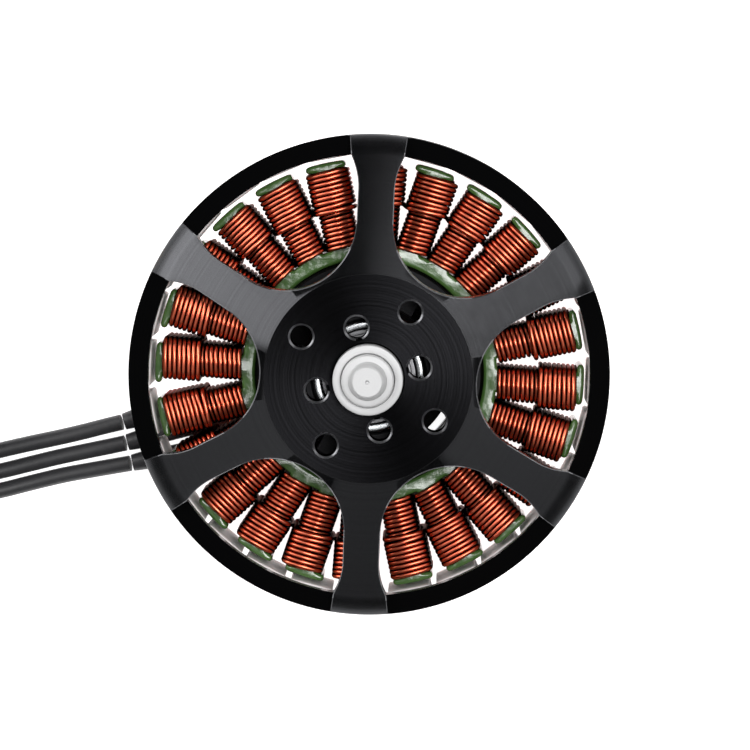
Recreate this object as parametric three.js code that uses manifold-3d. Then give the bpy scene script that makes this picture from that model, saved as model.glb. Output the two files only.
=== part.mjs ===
// A brushless outrunner motor: a wound stator with 24 teeth inside a six-armed bell with 28 magnets.
// Millimetres, +Z up. The shaft turns about the Z axis and the mounting face is z = 0.

import * as THREE from 'three';
import { mergeVertices } from 'three/addons/utils/BufferGeometryUtils.js';
import loadManifold from 'manifold-3d';

const wasm = await loadManifold();
wasm.setup();

// ---- Driving dimensions --------------------------------------------------------------------
const TURN = 2 * Math.PI;
const DEGREE = Math.PI / 180;

const rotorRadius = 27.8;
const ringWall = 1.0;
const annulusRadius = 25.5;
const hubRadius = 11.95;
const shaftRadius = 3.0;
const shaftTop = 32.0;
const armCount = 6;
const magnetCount = 28;
const toothCount = 24;
const restTurn = -2.4 * DEGREE;
const fit = 0.05;

const height = {
  shaftEnd: 0.6,
  flange: 3.0,
  ringBottom: 5.6,
  magnetBottom: 7.0,
  coreBottom: 7.9,
  coreTop: 16.1,
  magnetTop: 17.2,
  ringTop: 17.65,
  annulus: 19.4,
  tube: 21.5,
  hubBottom: 22.0,
  hubTop: 26.0,
  bossTop: 28.6,
  shaftShoulder: 30.0,
};

const bearing = { bore: 3.0, outer: 6.5, width: 5.0, pitch: 4.75, ball: 0.95, balls: 8 };
const bearingBottoms = { lower: 2.0, upper: height.tube - bearing.width };
const raceWall = { inner: 0.95, outer: 0.95 };
const grooveRadius = bearing.ball + 0.1;

const core = { bore: 13.2, yoke: 15.0, tip: 24.95, neckHalf: 1.0, tipHalf: 2.35, neckEnd: 23.95, tipStart: 24.1 };
const coil = {
  start: 15.05,
  end: 23.9,
  step: 19.6,
  halfWidthIn: 1.85,
  halfWidthOut: 2.5,
  thinTurn: 0.9,
  thickTurn: 1.4,
};

const leadDiameter = 1.9;
const sleeveDiameter = 2.35;
const touchGap = 0.3;

const segments = { outline: 56, fine: 36, small: 20, hole: 10, cord: 8 };

// ---- Materials -----------------------------------------------------------------------------
const finish = (color, roughness, metalness) => new THREE.MeshStandardMaterial({ color, roughness, metalness });
const materials = {
  anodised: finish(0x1b1c1e, 0.38, 0.9),
  steel: finish(0xc9cacc, 0.25, 1.0),
  blackSteel: finish(0x17181a, 0.45, 0.6),
  magnet: finish(0xc4c2bb, 0.3, 1.0),
  epoxy: finish(0x3d6130, 0.35, 0.0),
  copper: finish(0xc8461f, 0.3, 0.8),
  shield: finish(0x9fa2a5, 0.35, 1.0),
  silicone: finish(0x1d1e20, 0.7, 0.0),
  sleeve: finish(0x26272a, 0.6, 0.0),
  gold: finish(0xcf9f45, 0.25, 1.0),
};

// ---- Shared helpers ------------------------------------------------------------------------

// A closed mesh with shared vertices, no slivers of zero area and its faces pointing out.
function closed(geometry) {
  geometry.deleteAttribute('normal');
  geometry.deleteAttribute('uv');
  const merged = mergeVertices(geometry, 1e-4);
  const place = merged.getAttribute('position');
  const source = merged.getIndex().array;
  const corner = [new THREE.Vector3(), new THREE.Vector3(), new THREE.Vector3()];
  const kept = [];
  let volume = 0;
  for (let i = 0; i < source.length; i += 3) {
    const triangle = [source[i], source[i + 1], source[i + 2]];
    if (new Set(triangle).size < 3) continue;
    triangle.forEach((vertex, k) => corner[k].fromBufferAttribute(place, vertex));
    volume += corner[0].dot(corner[1].clone().cross(corner[2]));
    kept.push(triangle);
  }
  const outward = volume < 0 ? kept.map(([a, b, c]) => [a, c, b]) : kept;
  merged.setIndex(outward.flat());
  return merged;
}

function toSolid(geometry) {
  const mesh = closed(geometry);
  const vertProperties = new Float32Array(mesh.getAttribute('position').array);
  const triVerts = new Uint32Array(mesh.getIndex().array);
  return new wasm.Manifold(new wasm.Mesh({ numProp: 3, vertProperties, triVerts }));
}

function toGeometry(solid) {
  const mesh = solid.getMesh();
  const geometry = new THREE.BufferGeometry();
  geometry.setAttribute('position', new THREE.BufferAttribute(new Float32Array(mesh.vertProperties), 3));
  geometry.setIndex(Array.from(mesh.triVerts));
  return geometry;
}

const cut = (solid, tools) => tools.reduce((rest, tool) => rest.subtract(toSolid(tool)), solid);

// A solid of revolution about Z from [radius, z] points.
function turned(profile, count = segments.fine) {
  const points = profile.map(([radius, z]) => new THREE.Vector2(radius, z));
  return closed(new THREE.LatheGeometry(points, count).rotateX(Math.PI / 2));
}

// A ring about Z: the profile is closed on itself.
const turnedRing = (profile, count) => turned([...profile, profile[0]], count);

const plainRing = (inner, outer, low, high, count) =>
  turnedRing([[inner, low], [outer, low], [outer, high], [inner, high]], count);

function raised(shape, low, high, curveSegments = 8) {
  const options = { depth: high - low, bevelEnabled: false, curveSegments };
  return new THREE.ExtrudeGeometry(shape, options).translate(0, 0, low);
}

const polygon = (points) => new THREE.Shape(points.map(([x, y]) => new THREE.Vector2(x, y)));

const polar = (radius, angle) => [radius * Math.cos(angle), radius * Math.sin(angle)];

const angles = (count, first = 0) => Array.from({ length: count }, (_, i) => first + (i * TURN) / count);

// A sector of a ring, centred on the X axis.
function sector(inner, outer, halfAngle) {
  const shape = new THREE.Shape();
  shape.absarc(0, 0, outer, -halfAngle, halfAngle, false);
  shape.absarc(0, 0, inner, halfAngle, -halfAngle, true);
  shape.closePath();
  return shape;
}

// ---- Bell: hub, six arms and the rim --------------------------------------------------------

const windowAxis = 60 * DEGREE;
const windowForm = { apex: 12.4, round: 8.2, sideEnd: [19.6, 8.9], flare: [21.2, 9.85], halfAngle: 23.1 * DEGREE };

const innerHoles = { circle: 6.0, first: 15 * DEGREE };
const outerHoles = { circle: 9.0, first: 60 * DEGREE };
const screwHole = { radius: 1.3, mouth: 1.52, chamfer: 0.25, count: 4 };

// The opening between two arms: round towards the hub, flaring to the rim.
function windowOutline() {
  const { apex, round, sideEnd, flare, halfAngle } = windowForm;
  const roundSpan = 60 * DEGREE;
  const shape = new THREE.Shape();
  shape.absarc(0, 0, annulusRadius, halfAngle, -halfAngle, true);
  shape.quadraticCurveTo(flare[0], -flare[1], sideEnd[0], -sideEnd[1]);
  shape.absarc(apex + round, 0, round, Math.PI + roundSpan, Math.PI - roundSpan, true);
  shape.lineTo(sideEnd[0], sideEnd[1]);
  shape.quadraticCurveTo(flare[0], flare[1], ...polar(annulusRadius, halfAngle));
  return shape;
}

function screwCutter(top, depth, circle, angle, hole) {
  const profile = [
    [0, top - depth],
    [hole.radius, top - depth],
    [hole.radius, top - hole.chamfer],
    [hole.mouth, top],
    [hole.mouth, top + 1],
    [0, top + 1],
  ];
  const [x, y] = polar(circle, angle);
  return turned(profile, segments.hole).translate(x, y, 0);
}

function makeBell() {
  const bore = shaftRadius + 1.0 + fit;
  const profile = [
    [bore, height.hubBottom],
    [12.0, height.hubBottom],
    [24.4, 18.75],
    [25.2, height.ringTop],
    [rotorRadius, height.ringTop],
    [rotorRadius, 19.3],
    [27.7, 19.45],
    [27.1, 20.05],
    [26.4, 20.55],
    [25.5, 21.05],
    [hubRadius + 0.2, 25.7],
    [hubRadius, height.hubTop],
    [bore, height.hubTop],
  ];
  const windows = [];
  for (const axis of angles(armCount, windowAxis)) {
    windows.push(raised(windowOutline(), height.ringTop - 2, height.hubTop + 2).rotateZ(axis));
    const relief = sector(annulusRadius - 0.2, rotorRadius + 1, windowForm.halfAngle);
    windows.push(raised(relief, height.annulus, height.hubTop).rotateZ(axis));
  }
  const holes = [innerHoles, outerHoles].flatMap(({ circle, first }) =>
    angles(screwHole.count, first).map((angle) => screwCutter(height.hubTop, 6, circle, angle, screwHole)));
  return toGeometry(cut(toSolid(turnedRing(profile, segments.outline)), [...windows, ...holes]));
}

// ---- Rotor ring, magnets, shaft and its small parts -----------------------------------------

const makeFluxRing = () => plainRing(
  rotorRadius - ringWall, rotorRadius, height.ringBottom, height.ringTop - fit, segments.outline);

// The magnets stand side by side, joined by a thin band of adhesive behind them.
function makeMagnetRing() {
  const face = 25.35;
  const band = 26.3;
  const halfWidth = 2.5;
  const outer = rotorRadius - ringWall - 2 * fit;
  const shape = new THREE.Shape();
  shape.absarc(0, 0, outer, 0, TURN, false);
  const inside = [];
  for (const angle of angles(magnetCount)) {
    const turn = new THREE.Vector2();
    for (const [x, y] of [[band, -halfWidth], [face, -halfWidth], [face, halfWidth], [band, halfWidth]]) {
      inside.push(turn.set(x, y).rotateAround(new THREE.Vector2(), angle).clone());
    }
  }
  shape.holes.push(new THREE.Path(inside));
  return raised(shape, height.magnetBottom, height.magnetTop, segments.outline / 2);
}

function makeShaft() {
  const groove = 2.6;
  const tip = { foot: 2.1, end: 1.7 };
  return turned([
    [0, height.shaftEnd],
    [shaftRadius - 0.3, height.shaftEnd],
    [shaftRadius, height.shaftEnd + 0.3],
    [shaftRadius, 1.0],
    [groove, 1.0],
    [groove, 1.5],
    [shaftRadius, 1.5],
    [shaftRadius, height.shaftShoulder - 0.3],
    [shaftRadius - 0.3, height.shaftShoulder],
    [tip.foot, height.shaftShoulder],
    [tip.end, shaftTop],
    [0.5, shaftTop],
    [0, shaftTop - 0.6],
  ], segments.small);
}

const makePropBoss = () => turnedRing([
  [shaftRadius + fit, height.hubBottom],
  [shaftRadius + 1.0, height.hubBottom],
  [shaftRadius + 1.0, height.bossTop - 0.25],
  [shaftRadius + 0.75, height.bossTop],
  [shaftRadius + fit, height.bossTop],
], segments.small);

const makeShim = (low) => plainRing(shaftRadius + fit, 4.4, low, low + 0.4, segments.small);

// An open spring ring that sits in the shaft's groove.
function makeRetainingClip() {
  const gap = 35 * DEGREE;
  return raised(sector(2.68, 4.2, Math.PI - gap), 1.05, 1.45, segments.small);
}

// ---- Bearings -------------------------------------------------------------------------------

function raceProfile(wallRadius, faceRadius, low) {
  const middle = low + bearing.width / 2;
  const towards = Math.sign(faceRadius - wallRadius);
  const reach = Math.abs(bearing.pitch - faceRadius);
  const halfGroove = Math.sqrt(grooveRadius ** 2 - reach ** 2);
  const bottom = bearing.pitch - towards * grooveRadius;
  return [
    [wallRadius, low],
    [faceRadius, low],
    [faceRadius, middle - halfGroove],
    [bottom, middle],
    [faceRadius, middle + halfGroove],
    [faceRadius, low + bearing.width],
    [wallRadius, low + bearing.width],
  ];
}

const makeInnerRace = (low) =>
  turnedRing(raceProfile(bearing.bore + fit, bearing.bore + raceWall.inner, low), segments.small);

const makeOuterRace = (low) =>
  turnedRing(raceProfile(bearing.outer - fit, bearing.outer - raceWall.outer, low), segments.small);

// Balls held by their cage, as one piece.
function makeBallCage(low) {
  const middle = low + bearing.width / 2;
  const cage = toSolid(plainRing(bearing.pitch - 0.25, bearing.pitch + 0.25, middle - 0.7, middle + 0.7, segments.small));
  const whole = angles(bearing.balls).reduce((solid, angle) => {
    const [x, y] = polar(bearing.pitch, angle);
    return solid.add(toSolid(new THREE.SphereGeometry(bearing.ball - 0.05, 7, 4).translate(x, y, middle)));
  }, cage);
  return toGeometry(whole);
}

const makeShield = (low) => plainRing(4.15, bearing.outer - raceWall.outer - fit, low, low + 0.25, segments.small);

// ---- Mounting base --------------------------------------------------------------------------

function makeBase() {
  const tubeRadius = 8.2;
  const wall = { inner: 11.0, outer: core.bore - fit };
  const seatRadius = 14.4;
  const flangeRadius = 15.0;
  const bore = bearing.outer;
  const shoulder = 5.6;
  const profile = [
    [bore, 0],
    [flangeRadius - 0.4, 0],
    [flangeRadius, 0.4],
    [flangeRadius, height.flange],
    [seatRadius, height.flange],
    [seatRadius, height.coreBottom - fit],
    [wall.outer, height.coreBottom - fit],
    [wall.outer, height.coreTop + 0.3],
    [wall.inner, height.coreTop + 0.3],
    [wall.inner, height.flange],
    [tubeRadius, height.flange],
    [tubeRadius, height.tube - 0.6],
    [tubeRadius - 1.0, height.tube],
    [bore, height.tube],
    [bore, bearingBottoms.upper - fit],
    [shoulder, bearingBottoms.upper - fit],
    [shoulder, bearingBottoms.lower + bearing.width + fit],
    [bore, bearingBottoms.lower + bearing.width + fit],
  ];
  const ribWidth = 1.8;
  let solid = toSolid(turnedRing(profile, segments.fine));
  for (const angle of angles(armCount)) {
    const rib = new THREE.BoxGeometry(wall.inner - tubeRadius + 1, ribWidth, height.coreTop - height.flange + 0.5);
    rib.translate((wall.inner + tubeRadius) / 2, 0, (height.coreTop + height.flange - 0.5) / 2);
    solid = solid.add(toSolid(rib.rotateZ(angle)));
  }
  const slots = angles(armCount, 18 * DEGREE).map((angle) =>
    raised(sector(9.95, 10.9, 11 * DEGREE), -1, height.flange + 1).rotateZ(angle));
  const tapped = { radius: 1.25, mouth: 1.6, chamfer: 0.35 };
  const screws = angles(4, 45 * DEGREE).map((angle) =>
    screwCutter(0, 7, 12.5, angle, tapped).rotateX(Math.PI));
  return toGeometry(cut(solid, [...slots, ...screws]));
}

// ---- Stator ---------------------------------------------------------------------------------

const firstTooth = 11.25 * DEGREE;

function makeCore() {
  const outline = [];
  const tipCorner = Math.asin(core.tipHalf / core.tip);
  for (const angle of angles(toothCount, firstTooth)) {
    const side = [[core.yoke, core.neckHalf], [core.neckEnd, core.neckHalf], [core.tipStart, core.tipHalf]];
    const right = side.map(([x, y]) => [x, -y]);
    const tip = [-tipCorner, 0, tipCorner].map((turn) => polar(core.tip, turn));
    const next = polar(core.yoke, Math.PI / toothCount);
    for (const [x, y] of [...right, ...tip, ...side.reverse(), next]) {
      outline.push(new THREE.Vector2(x, y).rotateAround(new THREE.Vector2(), angle));
    }
  }
  const shape = new THREE.Shape(outline);
  const bore = new THREE.Path();
  bore.absarc(0, 0, core.bore + fit, 0, TURN, true);
  shape.holes.push(bore);
  return raised(shape, height.coreBottom, height.coreTop, segments.outline / 2);
}

// One tooth's winding, on the X axis, with the tooth through it. It is built up thicker towards the tip.
function makeCoil() {
  const { start, end, step, thinTurn, thickTurn } = coil;
  const [low, high] = [height.coreBottom, height.coreTop];
  const side = polygon([
    [start, low - thinTurn], [step, low - thinTurn], [step + 0.5, low - thickTurn], [end, low - thickTurn],
    [end, high + thickTurn], [step + 0.5, high + thickTurn], [step, high + thinTurn], [start, high + thinTurn],
  ]);
  const depth = 6;
  const slab = raised(side, -depth / 2, depth / 2).rotateX(Math.PI / 2);
  const plan = polygon([
    [start - 1, -coil.halfWidthIn], [end + 1, -coil.halfWidthOut],
    [end + 1, coil.halfWidthOut], [start - 1, coil.halfWidthIn],
  ]);
  const tooth = new THREE.BoxGeometry(20, 2 * core.neckHalf + 0.2, high - low + 0.2);
  tooth.translate(start + 5, 0, (low + high) / 2);
  const block = toSolid(slab).intersect(toSolid(raised(plan, 0, height.hubTop)));
  return toGeometry(block.subtract(toSolid(tooth)));
}

// ---- Leads ----------------------------------------------------------------------------------

// Each lead leaves its sleeve under the ring, runs out along the floor, is wound up with the others,
// and ends in a connector. The points are the centre line where the lead isn't wound.
const windCentre = new THREE.Vector2(-62, 1);
const wind = { outer: 13.9, inner: 7.9, low: 0.62, high: 12.35 };
const leadRoutes = {
  lead_a: {
    sleeve: [[-15.7, -3.1, 1.45], [-23.9, -5.05, 1.45], [-29.6, -6.7, 1.4]],
    out: [[-29.9, -6.78, 1.38], [-32, -7.3, 1.15], [-34.5, -7.95, 1.0], [-37.5, -8.65, 0.96], [-41, -9.4, 0.96],
      [-44.5, -10.2, 0.98], [-48, -11.1, 1.05], [-51.9, -12.0, 1.2]],
    tail: [[-75.8, 9.5, 7.1], [-75.4, 12.5, 6.1], [-75.0, 15.5, 4.9], [-74.3, 18.5, 3.4], [-73.9, 21.5, 2.5],
      [-73.9, 24.6, 2.35]],
  },
  lead_b: {
    sleeve: [[-15.2, -5.8, 1.45], [-23.3, -7.7, 1.45], [-29.2, -9.2, 1.4]],
    out: [[-29.5, -9.28, 1.38], [-31.6, -9.75, 1.15], [-34, -10.25, 1.0], [-37.5, -11.0, 0.96], [-41, -11.85, 0.97],
      [-44.5, -12.7, 1.1], [-48, -13.35, 1.6], [-51.4, -13.7, 2.25]],
    tail: [[-75.95, 9.5, 9.15], [-76.5, 12.5, 8.1], [-77.5, 15.5, 6.2], [-78.6, 18.5, 4.2], [-79.3, 21.5, 2.8],
      [-79.5, 24.6, 2.35]],
  },
  lead_c: {
    sleeve: [[-14.6, -8.5, 1.45], [-22.7, -10.35, 1.45], [-28.6, -11.65, 1.4]],
    out: [[-28.9, -11.72, 1.38], [-31, -12.1, 1.15], [-33.5, -12.55, 1.0], [-37, -13.2, 0.97], [-41, -14.15, 1.1],
      [-44.5, -15.0, 1.6], [-48, -15.6, 2.5], [-51.2, -15.75, 3.4]],
    tail: [[-76.1, 9.5, 11.2], [-77.7, 12.5, 9.9], [-80.2, 15.5, 7.5], [-83, 18.5, 5.0], [-84.8, 21.5, 3.1],
      [-85.1, 24.6, 2.35]],
  },
};

const toPoint = ([x, y, z]) => new THREE.Vector3(x, y, z);

// A tube with flat ends along a smooth curve through the points.
function makeTube(points, diameter) {
  const path = new THREE.CatmullRomCurve3(points.map(toPoint), false, 'centripetal');
  const section = new THREE.Shape(angles(segments.cord).map((angle) =>
    new THREE.Vector2(...polar(diameter / 2, angle))));
  const steps = Math.ceil(path.getLength() / (2.5 * leadDiameter));
  return new THREE.ExtrudeGeometry(section, { steps, bevelEnabled: false, extrudePath: path });
}

// A sleeved bullet connector that points along +Y, with its mouth at the origin.
function makeConnector() {
  return turned([
    [0, 0], [1.5, 0], [2.3, 1.0], [2.3, 10], [1.95, 10.2], [1.95, 12.2], [1.75, 12.4],
    [1.9, 15.5], [1.6, 18.6], [1.1, 19.2], [0, 19.2],
  ], segments.small / 2).rotateX(-Math.PI / 2);
}

const makeWoundLeads = () => turnedRing([
  [wind.inner - 1.1, wind.low + 0.6],
  [wind.inner - 0.5, wind.low],
  [wind.outer + 0.4, wind.low],
  [wind.outer + 1.0, wind.low + 0.6],
  [wind.outer + 1.0, wind.high - 0.6],
  [wind.outer + 0.4, wind.high],
  [wind.inner - 0.5, wind.high],
  [wind.inner - 1.1, wind.high - 0.6],
], 32).translate(windCentre.x, windCentre.y, 0);

// A strap round the wound leads.
function makeTie() {
  const strap = 0.4;
  const clear = 0.2;
  const width = 3;
  const loop = (grow) => [
    [wind.inner - 1.1 - grow, wind.low - grow],
    [wind.outer + 1.0 + grow, wind.low - grow],
    [wind.outer + 1.0 + grow, wind.high + grow],
    [wind.inner - 1.1 - grow, wind.high + grow],
  ];
  const shape = polygon(loop(clear + strap));
  shape.holes.push(polygon(loop(clear)));
  const tie = raised(shape, -width / 2, width / 2).rotateX(Math.PI / 2);
  return tie.rotateZ(50 * DEGREE).translate(windCentre.x, windCentre.y, 0);
}

// ---- Assembly -------------------------------------------------------------------------------

function named(name, geometry, material) {
  const mesh = new THREE.Mesh(closed(geometry), material);
  mesh.name = name;
  return mesh;
}

const rotor = new THREE.Group();
rotor.rotation.z = restTurn;
rotor.add(
  named('rotor_bell', makeBell(), materials.anodised),
  named('flux_ring', makeFluxRing(), materials.blackSteel),
  named('magnet_ring', makeMagnetRing(), materials.magnet),
  named('shaft', makeShaft(), materials.steel),
  named('prop_boss', makePropBoss(), materials.steel),
  named('upper_shim', makeShim(height.hubBottom - 0.45), materials.shield),
  named('lower_shim', makeShim(bearingBottoms.lower - 0.45), materials.shield),
  named('retaining_clip', makeRetainingClip(), materials.shield),
);

const stator = new THREE.Group();
stator.add(
  named('mount_base', makeBase(), materials.anodised),
  named('stator_core', makeCore(), materials.epoxy),
);

const cages = new THREE.Group();
for (const [place, low] of Object.entries(bearingBottoms)) {
  rotor.add(named(`${place}_inner_race`, makeInnerRace(low), materials.steel));
  stator.add(named(`${place}_outer_race`, makeOuterRace(low), materials.steel));
  stator.add(named(`${place}_bearing_shield_under`, makeShield(low + 0.05), materials.shield));
  stator.add(named(`${place}_bearing_shield_over`, makeShield(low + bearing.width - 0.3), materials.shield));
  cages.add(named(`${place}_ball_cage`, makeBallCage(low), materials.steel));
}

const coilShape = makeCoil();
angles(toothCount, firstTooth).forEach((angle, i) => {
  const winding = named(`coil_${String(i + 1).padStart(2, '0')}`, coilShape.clone(), materials.copper);
  winding.rotation.z = angle;
  stator.add(winding);
});

const leads = new THREE.Group();
for (const [name, route] of Object.entries(leadRoutes)) {
  leads.add(
    named(`${name}_sleeve`, makeTube(route.sleeve, sleeveDiameter), materials.sleeve),
    named(name, makeTube(route.out, leadDiameter), materials.silicone),
    named(`${name}_tail`, makeTube(route.tail, leadDiameter), materials.silicone),
  );
  const connector = named(`${name}_connector`, makeConnector(), materials.gold);
  const [x, y, z] = route.tail.at(-1);
  connector.position.set(x, y + touchGap, z);
  leads.add(connector);
}
leads.add(
  named('wound_leads', makeWoundLeads(), materials.silicone),
  named('lead_tie', makeTie(), materials.sleeve),
);

const motor = new THREE.Group();
motor.add(rotor, stator, cages, leads);

export default motor;
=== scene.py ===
"""A brushless outrunner motor in a plain studio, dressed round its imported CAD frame.

Lengths are in metres; MM turns millimetres into metres. The spin axis is Z.
"""

import math
import random
from collections import namedtuple

import bmesh
import bpy
import numpy as np
from mathutils import Matrix, Vector
from mathutils.geometry import tessellate_polygon


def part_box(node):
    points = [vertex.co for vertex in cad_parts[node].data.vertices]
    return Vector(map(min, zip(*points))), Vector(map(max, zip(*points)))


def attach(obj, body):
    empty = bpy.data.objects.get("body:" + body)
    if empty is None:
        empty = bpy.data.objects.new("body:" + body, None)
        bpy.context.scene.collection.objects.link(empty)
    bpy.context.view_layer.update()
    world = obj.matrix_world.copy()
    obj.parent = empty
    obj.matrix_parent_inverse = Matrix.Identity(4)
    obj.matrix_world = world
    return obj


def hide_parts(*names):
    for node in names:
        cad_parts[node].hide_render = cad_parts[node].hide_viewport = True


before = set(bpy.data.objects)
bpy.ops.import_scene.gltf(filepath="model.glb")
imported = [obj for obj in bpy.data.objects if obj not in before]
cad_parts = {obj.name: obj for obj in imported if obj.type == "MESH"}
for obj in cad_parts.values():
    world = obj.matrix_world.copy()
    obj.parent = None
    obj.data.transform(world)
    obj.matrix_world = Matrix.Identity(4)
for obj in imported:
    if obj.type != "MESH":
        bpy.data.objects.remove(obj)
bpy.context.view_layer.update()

MM = 0.001
TURN = 2 * math.pi
REST_TURN = math.radians(-2.4)

Extent = namedtuple("Extent", "inner outer low high")


def extent(node):
    """A node's least and greatest distance from the spin axis, and its lowest and highest z, in mm."""
    place = np.array([v.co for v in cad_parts[node].data.vertices]) / MM
    reach = np.hypot(place[:, 0], place[:, 1])
    return Extent(reach.min(), reach.max(), place[:, 2].min(), place[:, 2].max())


def middle(node):
    """The centre of a node's box, in metres."""
    low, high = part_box(node)
    return (low + high) / 2


# ---- Studio: camera, floor and lights -------------------------------------------------------

CAMERA_DISTANCE = 0.480
CAMERA_TILT_BACK, CAMERA_TILT_SIDE = 3.63, 0.8
CAMERA_TARGET = Vector((0.71, 0.09, 20.0)) * MM
FLOOR_HALF = 3.0
SOFTBOX_DISTANCE = 0.9
LIT_PLACE = Vector((0, 0, 0.015))

# Name, bearing from +X and tilt from the zenith in degrees, width and height in metres, radiance.
SOFTBOXES = (
    ("key_softbox", 25, 12, (0.34, 0.34), 14.0),
    ("left_softbox", 147, 40, (0.44, 0.44), 2.9),
    ("low_left_softbox", 150, 64, (0.50, 0.46), 4.8),
    ("right_softbox", 45, 40, (0.90, 0.50), 0.60),
    ("low_right_softbox", 34, 64, (0.40, 0.46), 2.0),
    ("front_left_softbox", 210, 42, (0.46, 0.44), 0.60),
    ("front_softbox", 270, 43, (0.40, 0.44), 0.35),
    ("front_right_softbox", 330, 42, (0.46, 0.44), 0.60),
)


def aim(obj, target, up):
    """Turns a camera or light at obj's place towards target, with its own Y towards up."""
    back = (obj.location - Vector(target)).normalized()
    right = Vector(up).cross(back).normalized()
    above = back.cross(right)
    for row in range(3):
        for column, axis in enumerate((right, above, back)):
            obj.matrix_world[row][column] = axis[row]


def add_camera():
    """A long lens nearly along the shaft, with the picture's top towards +Y."""
    data = bpy.data.cameras.new("camera")
    data.sensor_width = 36
    data.lens = 200
    data.clip_start = 0.01
    camera = bpy.data.objects.new("camera", data)
    bpy.context.scene.collection.objects.link(camera)
    tilt_back, tilt_side = math.radians(CAMERA_TILT_BACK), math.radians(CAMERA_TILT_SIDE)
    direction = Vector((math.sin(tilt_side), math.sin(tilt_back), math.cos(tilt_back)))
    camera.location = CAMERA_TARGET + direction.normalized() * CAMERA_DISTANCE
    bpy.context.view_layer.update()
    aim(camera, CAMERA_TARGET, (0, 1, 0))
    bpy.context.scene.camera = camera


def add_softbox(name, offset, size, radiance):
    """A rectangular soft light whose face has the given radiance."""
    data = bpy.data.lights.new(name, "AREA")
    data.shape = "RECTANGLE"
    data.size, data.size_y = size
    data.energy = radiance * math.pi * size[0] * size[1]
    light = bpy.data.objects.new(name, data)
    bpy.context.scene.collection.objects.link(light)
    light.location = LIT_PLACE + offset
    bpy.context.view_layer.update()
    aim(light, LIT_PLACE, (0, 0, 1) if abs(light.location.x) > 1e-4 else (0, 1, 0))


def add_studio():
    """The plain view transform, a dim world and the softboxes."""
    scene = bpy.context.scene
    scene.view_settings.view_transform = "Standard"
    world = bpy.data.worlds.new("studio")
    world.use_nodes = True
    background = world.node_tree.nodes["Background"]
    background.inputs["Color"].default_value = (0.92, 0.96, 1.0, 1)
    background.inputs["Strength"].default_value = 0.05
    scene.world = world
    for name, bearing, tilt, size, radiance in SOFTBOXES:
        around, down = math.radians(bearing), math.radians(tilt)
        direction = Vector((*polar(math.sin(down), around), math.cos(down)))
        add_softbox(name, direction * SOFTBOX_DISTANCE, size, radiance)


def add_floor():
    """A glowing floor just under the part."""
    mesh = bpy.data.meshes.new("floor")
    corners = [(sx * FLOOR_HALF, sy * FLOOR_HALF, 0) for sx, sy in ((-1, -1), (1, -1), (1, 1), (-1, 1))]
    mesh.from_pydata(corners, [], [(0, 1, 2, 3)])
    floor = bpy.data.objects.new("floor", mesh)
    bpy.context.scene.collection.objects.link(floor)
    floor.location.z = -0.02 * MM
    mesh.materials.append(floor_finish().material)


# ---- Materials ------------------------------------------------------------------------------

class Finish:
    """A Principled material with a short way to add nodes to it."""

    def __init__(self, name, color, roughness, metallic=0.0, **sockets):
        self.material = bpy.data.materials.new(name)
        self.material.use_nodes = True
        self.tree = self.material.node_tree
        self.shader = self.tree.nodes["Principled BSDF"]
        self.shader.inputs["Base Color"].default_value = (*color, 1)
        self.shader.inputs["Roughness"].default_value = roughness
        self.shader.inputs["Metallic"].default_value = metallic
        for socket, value in sockets.items():
            self.shader.inputs[socket.replace("_", " ")].default_value = value

    def node(self, kind, inputs=(), **settings):
        made = self.tree.nodes.new("ShaderNode" + kind)
        for name, value in settings.items():
            setattr(made, name, value)
        for name, value in dict(inputs).items():
            if isinstance(value, bpy.types.NodeSocket):
                self.tree.links.new(value, made.inputs[name])
            else:
                made.inputs[name].default_value = value
        return made

    def place(self):
        """The position on the piece, in millimetres."""
        inputs = {0: self.node("TexCoord").outputs["Object"], 1: (1 / MM, 1 / MM, 1 / MM)}
        return self.node("VectorMath", inputs, operation="MULTIPLY").outputs[0]

    def reach(self):
        """The distance from the spin axis, in millimetres."""
        flat = self.node("VectorMath", {0: self.place(), 1: (1, 1, 0)}, operation="MULTIPLY").outputs[0]
        return self.node("VectorMath", {0: flat}, operation="LENGTH").outputs["Value"]

    def noise(self, scale, detail=2.0):
        inputs = {"Vector": self.place(), "Scale": scale, "Detail": detail}
        return self.node("TexNoise", inputs).outputs["Fac"]

    def rings(self, scale, detail=3.0):
        """Noise that changes only with the distance from the spin axis, as tool marks do."""
        made = self.node("TexNoise", noise_dimensions="1D")
        self.tree.links.new(self.reach(), made.inputs["W"])
        made.inputs["Scale"].default_value = scale
        made.inputs["Detail"].default_value = detail
        return made.outputs["Fac"]

    def spread(self, value, low, high):
        """Maps a noise's middle part, 0.3 to 0.7, to the range from low to high."""
        inputs = {"Value": value, "From Min": 0.3, "From Max": 0.7, "To Min": low, "To Max": high}
        return self.node("MapRange", inputs).outputs["Result"]

    def mix(self, factor, first, second):
        """A colour between two colours, by a factor socket; inputs 6 and 7 are the node's two colours."""
        made = self.node("Mix", data_type="RGBA")
        self.tree.links.new(factor, made.inputs[0])
        made.inputs[6].default_value = (*first, 1)
        made.inputs[7].default_value = (*second, 1)
        return made.outputs[2]

    def color(self, socket):
        self.tree.links.new(socket, self.shader.inputs["Base Color"])

    def tones(self, factor, first, second):
        self.color(self.mix(factor, first, second))

    def roughness(self, factor, low, high):
        self.tree.links.new(self.spread(factor, low, high), self.shader.inputs["Roughness"])

    def bump(self, height, depth_mm, strength=1.0):
        inputs = {"Height": height, "Distance": depth_mm * MM, "Strength": strength}
        last = self.shader.inputs["Normal"]
        if last.is_linked:
            inputs["Normal"] = last.links[0].from_socket
        self.tree.links.new(self.node("Bump", inputs).outputs["Normal"], last)

    def turned_grain(self):
        """The highlight runs across concentric tool marks."""
        tangent = self.node("Tangent", direction_type="RADIAL", axis="Z")
        self.tree.links.new(tangent.outputs["Tangent"], self.shader.inputs["Tangent"])
        self.shader.inputs["Anisotropic Rotation"].default_value = 0.25


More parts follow.
